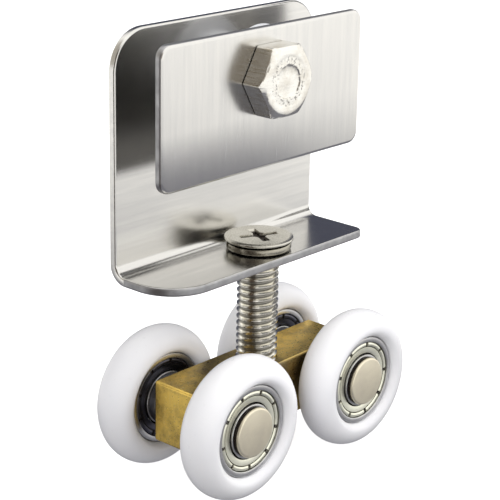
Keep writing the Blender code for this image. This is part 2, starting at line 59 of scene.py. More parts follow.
# Sizes of the detail that the CAD parts don't carry. Threads, bores and pins are given by their
# radius, the hexagons by their width across flats and the rings by their two radii.
SHEET_THICK = 1.2 * MM
SHEET_BEND = 1.5 * MM
SHEET_EDGE = 0.3 * MM
CLAMP_FRONT_EDGE = 0.5 * MM
CLAMP_REAR_EDGE = 0.25 * MM
THREAD_PITCH = 1.0 * MM
THREAD_CREST = 2.95 * MM
THREAD_ROOT = 2.42 * MM
THREAD_BORE = 3.03 * MM
CLAMP_BORE = 3.3 * MM
PIN_BORE = 2.95 * MM
PIN_SHANK = 2.9 * MM
PIN_HEAD = 3.55 * MM
CROSS_LEVELS = ((0.2, 5.9, 1.2), (-0.25, 5.5, 1.05), (-1.5, 2.6, 0.75))  # mm: height, span, width
HEX_ACROSS = 9.6 * MM
HEX_FLAT = HEX_ACROSS / 2 * 0.95  # the round flat inside the chamfer
HEX_SLOPE = math.tan(math.radians(30))
INNER_RING = (3.0 * MM, 3.85 * MM)
OUTER_RING = (5.75 * MM, 6.5 * MM)
RING_HALF = 2.1 * MM
RING_EDGE = 0.12 * MM
BALL_CIRCLE = 4.8 * MM
BALL_GROOVE = 1.18 * MM

# How many sides round shapes are drawn with
TOOL_STEPS = 64
SMALL_STEPS = 96
RING_STEPS = 128
TYRE_STEPS = 160
FINE_STEPS = 360

# Notches in the bearing shields' lips: the rows are those of shield_outline
NOTCHES = 9
NOTCH_HALF = math.radians(2.4)
NOTCH_DROP = 0.24 * MM
LIP_ROWS = range(1, 10)
# Rows painted in shade: the gap at the shield's rim and the crease inside its lip
SHADED_ROWS = (0, 10, 11)
FIRST_NOTCH = {"front_left": 29, "front_right": 1, "rear_left": 1, "rear_right": 1}  # degrees

# Noise scales along and across a sheet's grain
FINE_GRAIN = (160, 9000)
BROAD_GRAIN = (40, 900)
# Dark colour for the grime in the bolt face's dents, and for painted shade on the other parts
GRIME_AND_SHADE = (0.055, 0.045, 0.04)


# ---------------------------------------------------------------- materials


class Nodes:
    """A node tree, with shorthands for the nodes that the looks and the room share."""

    def __init__(self, tree):
        self.tree = tree

    def new(self, kind):
        return self.tree.nodes.new(f"ShaderNode{kind}")

    def link(self, start, end):
        self.tree.links.new(start, end)

    def feed(self, socket, value):
        """Gives a socket a number, a colour triple or another socket's output."""
        if isinstance(value, tuple):
            socket.default_value = (*value, 1)
        elif isinstance(value, (int, float)):
            socket.default_value = value
        else:
            self.link(value, socket)

    def split(self, vector):
        """A vector's X, Y and Z as sockets."""
        node = self.new("SeparateXYZ")
        self.link(vector, node.inputs[0])
        return node.outputs

    def maths(self, operation, first, second):
        node = self.new("Math")
        node.operation = operation
        self.feed(node.inputs[0], first)
        self.feed(node.inputs[1], second)
        return node.outputs["Value"]

    def product(self, first, *others):
        """Sockets and numbers multiplied in turn."""
        for other in others:
            first = self.maths("MULTIPLY", first, other)
        return first

    def spread(self, value, low, high, to_low=0.0, to_high=1.0):
        """Maps low..high evenly to to_low..to_high."""
        node = self.new("MapRange")
        node.inputs["From Min"].default_value = low
        node.inputs["From Max"].default_value = high
        node.inputs["To Min"].default_value = to_low
        node.inputs["To Max"].default_value = to_high
        self.link(value, node.inputs["Value"])
        return node.outputs["Result"]

    def smooth(self, value, low, high):
        """Rises softly from 0 at low to 1 at high, or falls if low is above high."""
        node = self.new("MapRange")
        node.interpolation_type = "SMOOTHSTEP"
        node.inputs["From Min"].default_value = min(low, high)
        node.inputs["From Max"].default_value = max(low, high)
        if low > high:
            node.inputs["To Min"].default_value = 1
            node.inputs["To Max"].default_value = 0
        self.link(value, node.inputs["Value"])
        return node.outputs["Result"]

    def blend(self, share, first, second):
        """Mixes two colours, each a triple or a socket."""
        node = self.new("Mix")
        node.data_type = "RGBA"
        self.link(share, node.inputs["Factor"])
        sockets = [socket for socket in node.inputs if socket.type == "RGBA"]
        self.feed(sockets[0], first)
        self.feed(sockets[1], second)
        return [socket for socket in node.outputs if socket.type == "RGBA"][0]

    def either(self, share, first, second):
        """Mixes two shader nodes: the first where share is 0, the second where it is 1."""
        node = self.new("MixShader")
        self.link(share, node.inputs["Fac"])
        self.link(first.outputs[0], node.inputs[1])
        self.link(second.outputs[0], node.inputs[2])
        return node


class Look(Nodes):
    """A material being built round its Principled shader."""

    def __init__(self, name, colour, metallic, roughness):
        self.material = bpy.data.materials.new(name)
        self.material.use_nodes = True
        self.material.diffuse_color = (*colour, 1)
        super().__init__(self.material.node_tree)
        self.shader = self.tree.nodes["Principled BSDF"]
        self.set("Metallic", metallic)
        self.set("Roughness", roughness)
        self.set("Base Color", colour)
        coordinates = self.new("TexCoord").outputs
        self.place = coordinates["Object"]
        self.normal = coordinates["Normal"]

    def set(self, name, value):
        self.feed(self.shader.inputs[name], value)

    def stretched(self, scale):
        """Object coordinates times a scale for each axis, so that noise turns into grain."""
        node = self.new("Mapping")
        node.inputs["Scale"].default_value = scale
        self.link(self.place, node.inputs["Vector"])
        return node.outputs["Vector"]

    def noise(self, vector, detail, rough, scale=1.0, distortion=0.0):
        node = self.new("TexNoise")
        node.inputs["Scale"].default_value = scale
        node.inputs["Detail"].default_value = detail
        node.inputs["Roughness"].default_value = rough
        node.inputs["Distortion"].default_value = distortion
        self.link(vector, node.inputs["Vector"])
        return node.outputs["Fac"]

    def axes(self):
        return self.split(self.place)

    def facing_y(self):
        """How squarely the surface faces forwards or backwards, from 0 to 1."""
        return self.maths("ABSOLUTE", self.split(self.normal)["Y"], 0)

    def distance(self, first, second):
        """The length of a vector with these two parts."""
        squares = self.maths("ADD", self.product(first, first), self.product(second, second))
        return self.maths("SQRT", squares, 0)

    def painted(self):
        """The share of shade painted on the mesh."""
        node = self.new("Attribute")
        node.attribute_name = "shade"
        return node.outputs["Fac"]

    def bump(self, height, strength, distance, under=None):
        """Tilts the surface by a height, on top of the bump given as under."""
        node = self.new("Bump")
        node.inputs["Strength"].default_value = strength
        node.inputs["Distance"].default_value = distance
        self.link(height, node.inputs["Height"])
        if under is not None:
            self.link(under, node.inputs["Normal"])
        self.set("Normal", node.outputs["Normal"])
        return node.outputs["Normal"]


def clamp_bow(look):
    """Height of the clamp plate's face: a slight lean, and a curl towards its lower left corner."""
    flat_above, right, left = 51.0 * MM, 17 * MM, -8 * MM
    lean, curl, least = 0.018, -7.0, 0.35
    x, _, z = look.axes()
    below = look.maths("MAXIMUM", look.maths("SUBTRACT", flat_above, z), 0)
    share = look.maths("ADD", look.product(look.smooth(x, right, left), 1 - least), least)
    curve = look.product(below, below, look.product(share, curl))
    return look.maths("ADD", look.product(z, lean), curve)


def bracket_bow(look):
    """Height of the back plate's face: it bows a little past the bolt."""
    flat_until, curl = 3.5 * MM, -5.5
    past = look.maths("MAXIMUM", look.maths("SUBTRACT", look.axes()["X"], flat_until), 0)
    face = look.smooth(look.facing_y(), 0.8, 0.95)
    return look.product(past, past, look.product(face, curl))


def clamp_rear_shade(look):
    """The clamp plate's rear face, between the plates, is painted in shade, darker than its front.
    """
    low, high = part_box("clamp_plate")
    rear = look.smooth(look.axes()["Y"], (low.y + high.y) / 2, high.y)
    return look.product(rear, 0.42)


def brushed_sheet(name, grain, colour, tint, roughness, bow, dull_and_shade=None):
    """Stainless sheet with scratches along the axis numbered grain and a cloudy tint.

    bow(look) gives its slight curve as a height, and the last function the share of painted shade.
    """
    look = Look(name, colour, 1.0, roughness)
    fine, broad = ([across] * 3 for _, across in (FINE_GRAIN, BROAD_GRAIN))
    fine[grain], broad[grain] = FINE_GRAIN[0], BROAD_GRAIN[0]
    scratches = look.noise(look.stretched(fine), detail=4, rough=0.65)
    streaks = look.noise(look.stretched(broad), detail=3, rough=0.6)
    clouds = look.noise(look.place, scale=90, detail=2, rough=0.5)
    shade = look.blend(look.spread(streaks, 0.3, 0.7), colour, tint)
    shade = look.blend(look.spread(clouds, 0.35, 0.7, 0.0, 0.5), shade, tint)
    # painted shade where the last function says, such as on the clamp's rear face
    look.set("Base Color", look.blend(dull_and_shade(look), shade, GRIME_AND_SHADE) if dull_and_shade else shade)
    wear = look.maths("ADD", look.product(scratches, 0.12), look.product(streaks, 0.08))
    finish = look.spread(wear, 0.05, 0.15, roughness - 0.05, roughness + 0.06)
    look.set("Roughness", finish)
    waves = look.bump(clouds, 0.25, 0.12 * MM)
    waves = look.bump(bow(look), 1.0, 1.0, waves)
    look.bump(scratches, 0.22, 0.012 * MM, waves)
    return look.material


def turned_metal(name, colour, tint, roughness, marks, painted_shade=None):
    """Machined steel with fine marks and stained patches; the optional mask function gives the
    share of painted shade.
    """
    look = Look(name, colour, 1.0, roughness)
    grains = look.noise(look.place, scale=6000, detail=3, rough=0.6)
    stains = look.noise(look.place, scale=420, detail=4, rough=0.6)
    shade = look.blend(look.spread(stains, 0.4, 0.72), colour, tint)
    finish = look.spread(grains, 0.3, 0.7, roughness - 0.04, roughness + 0.07)
    # painted shade: darker and rougher where the mask says
    if painted_shade:
        share = painted_shade(look)
        shade = look.blend(share, shade, GRIME_AND_SHADE)
        finish = look.maths("ADD", finish, look.product(share, 0.3))
    look.set("Base Color", shade)
    look.set("Roughness", finish)
    look.bump(grains, marks, 0.012 * MM)
    return look.material


def screw_shade(look):
    """Painted shade in the cross recess and at the thread's root, and greyer on top of the head."""
    x, y, z = look.axes()
    out = look.distance(x, y)
    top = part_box("adjusting_screw")[1].z
    recess = look.product(
        look.smooth(out, 3.4 * MM, 3.0 * MM),
        look.smooth(z, top - 0.12 * MM, top - 0.5 * MM),
        look.smooth(z, top - 2.6 * MM, top - 2.5 * MM),
    )
    root = look.smooth(out, 2.74 * MM, 2.5 * MM)
    below = look.smooth(z, top - 2.0 * MM, top - 2.1 * MM)
    thread = look.product(root, below, 0.6)
    disc = look.product(look.smooth(z, top - 0.5 * MM, top - 0.2 * MM), 0.3)
    return look.maths("MAXIMUM", look.maths("MAXIMUM", recess, thread), disc)


def pin_shade(look):
    """Painted shade on the side of each upset head, where it meets the bearing."""
    x, y, z = look.axes()
    low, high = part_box("axle_right")
    across = look.maths("SUBTRACT", look.maths("ABSOLUTE", x, 0), (low.x + high.x) / 2)
    out = look.distance(across, look.maths("SUBTRACT", z, (low.z + high.z) / 2))
    side = look.smooth(out, 3.36 * MM, 3.52 * MM)
    depth = look.smooth(look.maths("ABSOLUTE", y, 0), high.y - 0.22 * MM, high.y - 0.4 * MM)
    return look.product(side, depth)


def brass_look():
    """Sawn and rubbed brass: scratches and brown patches, with painted shade on the faces between
    the wheels and a painted shadow by the screw.
    """
    bright, dull_and_shade, rubbed = (0.96, 0.68, 0.165), (0.41, 0.285, 0.085), (0.9, 0.68, 0.28)
    # dark grey for the front and rear faces: painted shade between the wheels
    side = (0.26, 0.25, 0.23)
    look = Look("sawn_brass", bright, 1.0, 0.32)
    scratches = look.noise(look.stretched((900, 2600, 260)), detail=5, rough=0.7, distortion=0.4)
    blotches = look.noise(look.place, scale=330, detail=5, rough=0.65)
    pits = look.noise(look.place, scale=2600, detail=3, rough=0.6)
    shade = look.blend(look.spread(blotches, 0.45, 0.72), bright, dull_and_shade)
    shade = look.blend(look.spread(scratches, 0.52, 0.8, 0.0, 0.55), shade, rubbed)
    x = look.axes()["X"]
    # painted shadow under the bracket, by the screw
    screw_shadow = look.product(look.smooth(x, -13 * MM, -8 * MM), look.smooth(x, 3 * MM, 0))
    shade = look.blend(look.product(screw_shadow, 0.5), shade, GRIME_AND_SHADE)
    look.set("Base Color", look.blend(look.product(look.facing_y(), 0.5), shade, side))
    look.set("Roughness", look.spread(pits, 0.3, 0.7, 0.24, 0.4))
    coarse = look.bump(scratches, 0.5, 0.06 * MM)
    look.bump(pits, 0.35, 0.03 * MM, coarse)
    return look.material


def nylon_look(name, colour, shadow):
    """Moulded nylon: a soft gloss over slightly cloudy white."""
    look = Look(name, colour, 0.0, 0.32)
    clouds = look.noise(look.place, scale=150, detail=2, rough=0.5)
    ripple = look.noise(look.place, scale=1400, detail=3, rough=0.5)
    look.set("Base Color", look.blend(look.spread(clouds, 0.35, 0.75), colour, shadow))
    look.set("Roughness", look.spread(ripple, 0.3, 0.7, 0.27, 0.38))
    look.bump(ripple, 0.12, 0.01 * MM)
    look.set("Specular IOR Level", 0.25)
    look.set("Subsurface Weight", 0.12)
    look.shader.inputs["Subsurface Radius"].default_value = (1.0, 0.95, 0.9)
    look.set("Subsurface Scale", 1.2 * MM)
    return look.material


def marked_face(name):
    """Bright bolt steel: ruled side faces and a worn ring of dents round the head's recess."""
    bright, worn, ruled = (0.78, 0.77, 0.73), (0.64, 0.61, 0.55), (0.56, 0.52, 0.44)
    look = Look(name, bright, 1.0, 0.2)
    x, y, z = look.axes()
    out = look.distance(x, look.maths("SUBTRACT", z, bolt_height()))
    lines = look.noise(look.stretched((300, 300, 4200)), detail=3, rough=0.6)
    dents = look.noise(look.place, scale=2300, detail=4, rough=0.7)
    stains = look.noise(look.place, scale=500, detail=3, rough=0.6)
    marks = look.product(
        look.smooth(out, 2.15 * MM, 2.45 * MM),
        look.smooth(out, 3.5 * MM, 3.1 * MM),
        look.smooth(y, -4.0 * MM, -4.3 * MM),
        look.smooth(dents, 0.56, 0.62),
    )
    side = look.smooth(look.facing_y(), 0.7, 0.4)
    shade = look.blend(look.spread(stains, 0.42, 0.72), bright, worn)
    shade = look.blend(look.product(side, look.spread(lines, 0.42, 0.6)), shade, ruled)
    look.set("Base Color", look.blend(look.product(marks, 0.6), shade, GRIME_AND_SHADE))
    look.set("Roughness", look.spread(lines, 0.3, 0.7, 0.16, 0.3))
    grooves = look.bump(look.product(lines, side), 0.4, 0.03 * MM)
    look.bump(look.maths("SUBTRACT", 0, marks), 0.6, 0.06 * MM, grooves)
    return look.material


def sheared_rim(name):
    """The sheet's cut edge: duller and rougher than its faces."""
    light, dark = (0.43, 0.43, 0.44), (0.33, 0.33, 0.34)
    look = Look(name, (0.42, 0.42, 0.425), 1.0, 0.42)
    grains = look.noise(look.stretched((700, 700, 700)), detail=4, rough=0.6)
    look.set("Base Color", look.blend(look.spread(grains, 0.35, 0.7), light, dark))
    look.set("Roughness", look.spread(grains, 0.3, 0.7, 0.36, 0.5))
    look.bump(grains, 0.2, 0.03 * MM)
    return look.material


def floor_look():
    """Pale and faintly glowing, so that almost no shadow shows."""
    look = Look("pale_floor", (0.6, 0.6, 0.6), 0.0, 0.7)
    clouds = look.noise(look.place, scale=3, detail=2, rough=0.5)
    look.set("Base Color", look.blend(clouds, (0.61, 0.61, 0.61), (0.59, 0.59, 0.595)))
    look.set("Emission Color", (1, 1, 1))
    look.set("Emission Strength", 0.86)
    return look.material


def make_looks():
    """Every material but the brass's and the floor's, by its use."""
    return {
        "bracket": brushed_sheet(
            "brushed_bracket", grain=0, colour=(0.69, 0.68, 0.655), tint=(0.61, 0.605, 0.59),
            roughness=0.22, bow=bracket_bow,
        ),
        "clamp": brushed_sheet(
            "brushed_clamp", grain=2, colour=(0.70, 0.69, 0.665), tint=(0.65, 0.645, 0.63),
            roughness=0.24, bow=clamp_bow, dull_and_shade=clamp_rear_shade,
        ),
        "rim": sheared_rim("sheared_edge"),
        "bolt": marked_face("bolt_steel_look"),
        "screw": turned_metal(
            "nickel_screw", colour=(0.86, 0.84, 0.76), tint=(0.72, 0.70, 0.62),
            roughness=0.16, marks=0.1, painted_shade=screw_shade,
        ),
        "washer": turned_metal(
            "washer_steel", colour=(0.42, 0.40, 0.34), tint=(0.30, 0.28, 0.23),
            roughness=0.24, marks=0.2,
        ),
        "rings": turned_metal(
            "bearing_steel", colour=(0.60, 0.60, 0.60), tint=(0.50, 0.50, 0.51),
            roughness=0.3, marks=0.12,
        ),
        "outer": turned_metal(
            "shield_steel_look", colour=(0.93, 0.93, 0.79), tint=(0.86, 0.86, 0.72),
            roughness=0.36, marks=0.06, painted_shade=Look.painted,
        ),
        # the inner shields, painted near-black as the shade between wheel and block
        "inner": turned_metal(
            "inner_shield_shade", colour=(0.10, 0.10, 0.12), tint=(0.07, 0.07, 0.09),
            roughness=0.3, marks=0.15, painted_shade=Look.painted,
        ),
        "pins": turned_metal(
            "pin_steel_look", colour=(0.84, 0.78, 0.62), tint=(0.76, 0.70, 0.56),
            roughness=0.42, marks=0.4, painted_shade=pin_shade,
        ),
        "balls": turned_metal(
            "ball_steel_look", colour=(0.60, 0.60, 0.60), tint=(0.5, 0.5, 0.5),
            roughness=0.12, marks=0.1,
        ),
        "tyre": nylon_look("white_nylon", (0.87, 0.867, 0.885), (0.83, 0.827, 0.855)),
        "bush": nylon_look("bush_nylon", (0.86, 0.87, 0.90), (0.82, 0.83, 0.87)),
    }


# ---------------------------------------------------------------- geometry


def add_piece(name, bm, material, body, nodes, sharp=30):
    """Turns a bmesh into a piece that rides on a body and stands for CAD nodes."""
    bmesh.ops.recalc_face_normals(bm, faces=bm.faces)
    mesh = bpy.data.meshes.new(name)
    bm.to_mesh(mesh)
    bm.free()
    add_mesh(name, mesh, material, body, nodes, sharp)


def add_mesh(name, mesh, material, body, nodes, sharp=30):
    """Turns a mesh into a piece; edges that turn by more than sharp degrees stay crisp."""
    mesh.shade_smooth()
    mesh.set_sharp_from_angle(angle=math.radians(sharp))
    mesh.materials.clear()
    mesh.materials.append(material)
    obj = bpy.data.objects.new(name, mesh)
    show(obj)
    normals = obj.modifiers.new("Normals", "WEIGHTED_NORMAL")
    normals.keep_sharp = True
    normals.weight = 80
    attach(obj, body)
    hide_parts(*nodes)
    return obj


def set_rim(obj, look, is_rim):
    """Gives a second material to the faces whose centre and normal pass a test."""
    obj.data.materials.append(look)
    for face in obj.data.polygons:
        if is_rim(face.center, face.normal):
            face.material_index = 1


def pour(source, target):
    """Adds one bmesh's geometry to another and frees the first."""
    mesh = bpy.data.meshes.new("poured")
    source.to_mesh(mesh)
    source.free()
    target.from_mesh(mesh)
    bpy.data.meshes.remove(mesh)


def show(obj):
    """Puts an object in the scene."""
    bpy.context.scene.collection.objects.link(obj)


def move(bm, matrix):
    """Moves a whole bmesh."""
    bmesh.ops.transform(bm, matrix=matrix, verts=bm.verts)


def around(radius, angle, height):
    """The point at a radius, angle and height about Z."""
    return radius * math.cos(angle), radius * math.sin(angle), height


def fillet(corners, closed, steps=4):
    """Rounds a polyline: each corner is (a, b) or (a, b, radius)."""
    count = len(corners)
    points = []
    for number, corner in enumerate(corners):
        here = Vector(corner[:2])
        radius = corner[2] if len(corner) > 2 else 0
        if radius == 0 or (not closed and number in (0, count - 1)):
            points.append(tuple(here))
            continue
        before = (Vector(corners[number - 1][:2]) - here).normalized()
        after = (Vector(corners[(number + 1) % count][:2]) - here).normalized()
        half = before.angle(after) / 2
        reach = radius / math.tan(half)
        centre = here + (before + after).normalized() * (radius / math.sin(half))
        start = here + before * reach - centre
        end = here + after * reach - centre
        turn = start.angle_signed(end)
        for step in range(steps + 1):
            angle = -turn * step / steps
            cosine, sine = math.cos(angle), math.sin(angle)
            across = centre.x + start.x * cosine - start.y * sine
            points.append((across, centre.y + start.x * sine + start.y * cosine))
    return points


def arc(centre, radius, start, end, steps):
    """Points on an arc from one angle in degrees to another."""
    points = []
    for step in range(steps + 1):
        angle = math.radians(start + (end - start) * step / steps)
        away = (radius * math.cos(angle), radius * math.sin(angle))
        points.append((centre[0] + away[0], centre[1] + away[1]))
    return points


def rounded_rectangle(left, right, low, high, radii):
    """Counter-clockwise outline; radii run from the low right corner round to the low left."""
    steps = 14
    corners = [(right, low, 270), (right, high, 0), (left, high, 90), (left, low, 180)]
    points = []
    for (x, y, start), radius in zip(corners, radii):
        centre = (x - radius if x == right else x + radius, y + radius if y == low else y - radius)
        points += arc(centre, radius, start, start + 90, steps)
    return points


def revolve(bm, outline, steps, depth=None, closed=True):
    """Revolves (radius, height) points about Z.

    depth(row, angle) says how far a point drops, and its shade.
    """
    shade = bm.verts.layers.float.new("shade")
    rings = []
    for row, (radius, height) in enumerate(outline):
        if radius == 0:
            rings.append([bm.verts.new((0, 0, height))] * steps)
            continue
        ring = []
        for step in range(steps):
            angle = 2 * math.pi * step / steps
            drop, tone = depth(row, angle) if depth else (0, 0)
            vert = bm.verts.new(around(radius, angle, height - drop))
            vert[shade] = tone
            ring.append(vert)
        rings.append(ring)
    join_rings(bm, rings + rings[:1] if closed else rings)


def join_rings(bm, rings):
    """Fills the bands between rings that follow each other; a ring may be one point repeated."""
    for lower, upper in zip(rings, rings[1:]):
        for step in range(len(lower)):
            after = (step + 1) % len(lower)
            face = []
            for vert in (lower[step], lower[after], upper[after], upper[step]):
                if vert not in face:
                    face.append(vert)
            if len(face) > 2:
                bm.faces.new(face)


def turned(
    name, outline, steps, place, material, body, nodes, closed=True, turn=ALONG_Y, depth=None
):
    """A revolved piece: its axis turned from Z, and then moved to its place."""
    bm = bmesh.new()
    revolve(bm, outline, steps, depth, closed)
    move(bm, Matrix.Translation(place) @ turn)
    add_piece(name, bm, material, body, nodes)


def sheet_blank(outline, thickness, near_edge, far_edge):
    """A flat blank from z 0 to its thickness, each face with its own width of rounded rim."""
    bm = bmesh.new()
    base = bm.faces.new([bm.verts.new((x, y, 0)) for x, y in outline])
    made = bmesh.ops.extrude_face_region(bm, geom=[base])
    top = [item for item in made["geom"] if isinstance(item, bmesh.types.BMVert)]
    bmesh.ops.translate(bm, vec=(0, 0, thickness), verts=top)
    bmesh.ops.recalc_face_normals(bm, faces=bm.faces)
    for level, width in ((0.0, near_edge), (thickness, far_edge)):
        rim = [e for e in bm.edges if all(abs(v.co.z - level) < 1e-7 for v in e.verts)]
        bmesh.ops.bevel(bm, geom=rim, offset=width, segments=5, profile=0.5, affect="EDGES")
    return bm


def cylinder(radius, length, place, turn):
    """A tool to cut a round hole with."""
    bm = bmesh.new()
    half = length / 2
    outline = [(0, -half), (radius, -half), (radius, half), (0, half)]
    revolve(bm, outline, TOOL_STEPS, closed=False)
    move(bm, Matrix.Translation(place) @ turn)
    return bm


def carved(bm, tools):
    """The mesh of a bmesh after each tool's bmesh is cut from it."""
    made = []
    for number, shape in enumerate([bm, *tools]):
        bmesh.ops.recalc_face_normals(shape, faces=shape.faces)
        mesh = bpy.data.meshes.new(f"blank {number}")
        shape.to_mesh(mesh)
        shape.free()
        obj = bpy.data.objects.new(mesh.name, mesh)
        show(obj)
        made.append(obj)
    for tool in made[1:]:
        modifier = made[0].modifiers.new("Cut", "BOOLEAN")
        modifier.operation = "DIFFERENCE"
        modifier.solver = "EXACT"
        modifier.object = tool
    bpy.context.view_layer.update()
    graph = bpy.context.evaluated_depsgraph_get()
    result = bpy.data.meshes.new_from_object(made[0].evaluated_get(graph))
    for obj in made:
        bpy.data.objects.remove(obj)
    return result


def bolt_height():
    """The height of the bolt's axis."""
    low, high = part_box("clamp_nut")
    return (low.z + high.z) / 2


def build_bracket(look, rim):
    """The sheet is cut out flat and bent, and then its two holes are cut."""
    low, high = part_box("bracket")
    plate_front = high.y - SHEET_THICK
    flange_top = low.z + SHEET_THICK
    flat = plate_front - SHEET_BEND - low.y
    bend = SHEET_BEND * math.pi / 2
    length = flat + bend + high.z - flange_top - SHEET_BEND
    radii = [1.6 * MM, 5.5 * MM, 5.5 * MM, 6.5 * MM]
    outline = rounded_rectangle(low.x, high.x, 0, length, radii)
    bm = sheet_blank(outline, SHEET_THICK, SHEET_EDGE, SHEET_EDGE)
    fold(bm, (low.y, plate_front, flange_top), flat, bend)
    holes = [
        cylinder(THREAD_BORE, 5 * MM, (0, 0, flange_top), Matrix.Identity(4)),
        cylinder(THREAD_BORE, 5 * MM, (0, plate_front, bolt_height()), ALONG_Y),
    ]
    mesh = carved(bm, holes)
    obj = add_mesh("bracket_sheet", mesh, look, "bracket", ["bracket"])
    bend_starts = plate_front - SHEET_BEND
    set_rim(obj, rim, lambda centre, normal: centre.y < bend_starts and abs(normal.z) < 0.75)


def fold(bm, edges, flat, bend):
    """Bends the bracket's blank upwards: u runs along X, v from the flange's front edge to the top.

    edges holds the flange's front, the upright's front face and the flange's top face. The blank
    is flat up to v = flat, and the bend takes up the next stretch of it.
    """
    flange_front, plate_front, flange_top = edges
    cuts = 16
    for step in range(cuts + 1):
        level = (0, flat + bend * step / cuts, 0)
        every = bm.verts[:] + bm.edges[:] + bm.faces[:]
        bmesh.ops.bisect_plane(bm, geom=every, plane_co=level, plane_no=(0, 1, 0), dist=1e-8)
    for vert in bm.verts:
        u, v, w = vert.co
        if v <= flat:
            vert.co = (u, flange_front + v, flange_top - w)
        elif v < flat + bend:
            angle = (v - flat) / SHEET_BEND
            reach = SHEET_BEND + w
            y = plate_front - SHEET_BEND + reach * math.sin(angle)
            vert.co = (u, y, flange_top + SHEET_BEND - reach * math.cos(angle))
        else:
            vert.co = (u, plate_front + w, flange_top + SHEET_BEND + v - flat - bend)


def build_clamp_plate(look, rim):
    """A flat sheet with one hole, softer at its front rim than at its rear one."""
    low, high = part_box("clamp_plate")
    outline = rounded_rectangle(low.x, high.x, low.z, high.z, [1.8 * MM] * 4)
    bm = sheet_blank(outline, high.y - low.y, CLAMP_REAR_EDGE, CLAMP_FRONT_EDGE)
    move(bm, Matrix.Translation((0, high.y, 0)) @ ALONG_Y)
    hole = cylinder(CLAMP_BORE, 5 * MM, (0, low.y, bolt_height()), ALONG_Y)
    mesh = carved(bm, [hole])
    obj = add_mesh("clamp_sheet", mesh, look, "clamp", ["clamp_plate"])
    set_rim(obj, rim, lambda centre, normal: abs(normal.y) < 0.6)


def thread_radius(share):
    """Radius through one pitch: a narrow crest in the middle and a rounded root at its ends."""
    foot, flank, belly = 0.80, 0.62, 0.12
    away = abs(share - 0.5) * 2
    climb = min(max((foot - away) / flank, 0), 1)
    climb = climb + belly * math.sin(math.pi * 2 * climb) / 2
    return THREAD_ROOT + (THREAD_CREST - THREAD_ROOT) * climb


def thread_mesh(bm, start, end, plain):
    """A right-hand thread between two heights, with a chamfered start and a plain top stretch."""
    steps, rows = 72, 12
    lead, slope = 0.1 * MM, 1.2
    count = int(rows * (end - start) / THREAD_PITCH) + rows
    grid = []
    for row in range(-rows, count):
        line = []
        for step in range(steps):
            height = start + THREAD_PITCH * (row / rows + step / steps)
            height = min(max(height, start), end)
            chamfer = THREAD_ROOT + lead + (height - start) * slope
            radius = min(thread_radius((row % rows) / rows), chamfer)
            if height > end - plain:
                radius = THREAD_ROOT
            line.append(bm.verts.new(around(radius, 2 * math.pi * step / steps, height)))
        grid.append(line)
    for here, above in zip(grid, grid[1:]):
        for step in range(steps - 1):
            bm.faces.new((here[step], here[step + 1], above[step + 1], above[step]))
    for row in range(len(grid) - rows - 1):  # the seam, where each turn meets the next one up
        here, above = grid[row], grid[row + 1]
        bm.faces.new((here[-1], grid[row + rows][0], grid[row + rows + 1][0], above[-1]))
    close_thread(bm, (start, end))


def close_thread(bm, levels):
    """Merges what the end levels have flattened, and fills each end whose rim is a plain loop."""
    bmesh.ops.remove_doubles(bm, verts=bm.verts, dist=2e-6)
    bmesh.ops.dissolve_degenerate(bm, dist=1e-6, edges=bm.edges)
    for level in levels:
        rim = [e for e in bm.edges if e.is_boundary]
        rim = [e for e in rim if all(abs(v.co.z - level) < 1e-6 for v in e.verts)]
        if rim:
            bmesh.ops.holes_fill(bm, edges=rim, sides=0)


def build_screw(look):
    """A low round head with the cross cut into it, and a thread below."""
    low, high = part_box("adjusting_screw")
    radius = high.x
    seat = high.z - 0.6 * MM
    outline = [
        (0, seat),
        (radius - 0.35 * MM, seat, 0),
        (radius, seat + 0.2 * MM, 0.12 * MM),
        (radius, high.z - 0.12 * MM, 0.14 * MM),
        (radius - 0.5 * MM, high.z, 0.4 * MM),
        (0, high.z),
    ]
    head = bmesh.new()
    revolve(head, fillet(outline, False, 5), RING_STEPS, closed=False)
    recess = [recess_arm(math.radians(angle), high.z) for angle in (-25, 65)]
    recess.append(recess_middle(high.z))
    piece = bmesh.new()
    piece.from_mesh(carved(head, recess))
    shank = bmesh.new()
    thread_mesh(shank, low.z, seat + 0.05 * MM, 0.4 * MM)
    pour(shank, piece)
    nodes = ["adjusting_screw"]
    add_piece("adjusting_screw_body", piece, look, "screw", nodes, 40)


def recess_arm(turn, top):
    """One bar of the cross: wide at the head's face, narrower and shorter at the bottom."""
    bm = bmesh.new()
    levels = []
    for height, span, width in CROSS_LEVELS:
        ring = []
        for x, y in ((-1, -1), (1, -1), (1, 1), (-1, 1)):
            ring.append(bm.verts.new((x * span * MM / 2, y * width * MM / 2, height * MM)))
        levels.append(ring)
    join_rings(bm, levels)
    bm.faces.new(reversed(levels[0]))
    bm.faces.new(levels[-1])
    move(bm, Matrix.Translation((0, 0, top)) @ Matrix.Rotation(turn, 4, "Z"))
    return bm


def recess_middle(top):
    """The cone where the cross's arms meet."""
    bm = bmesh.new()
    outline = [(0, -1.75 * MM), (0.35 * MM, -1.55 * MM), (1.15 * MM, 0.1 * MM), (0, 0.1 * MM)]
    revolve(bm, outline, 32, closed=False)
    move(bm, Matrix.Translation((0, 0, top)))
    return bm


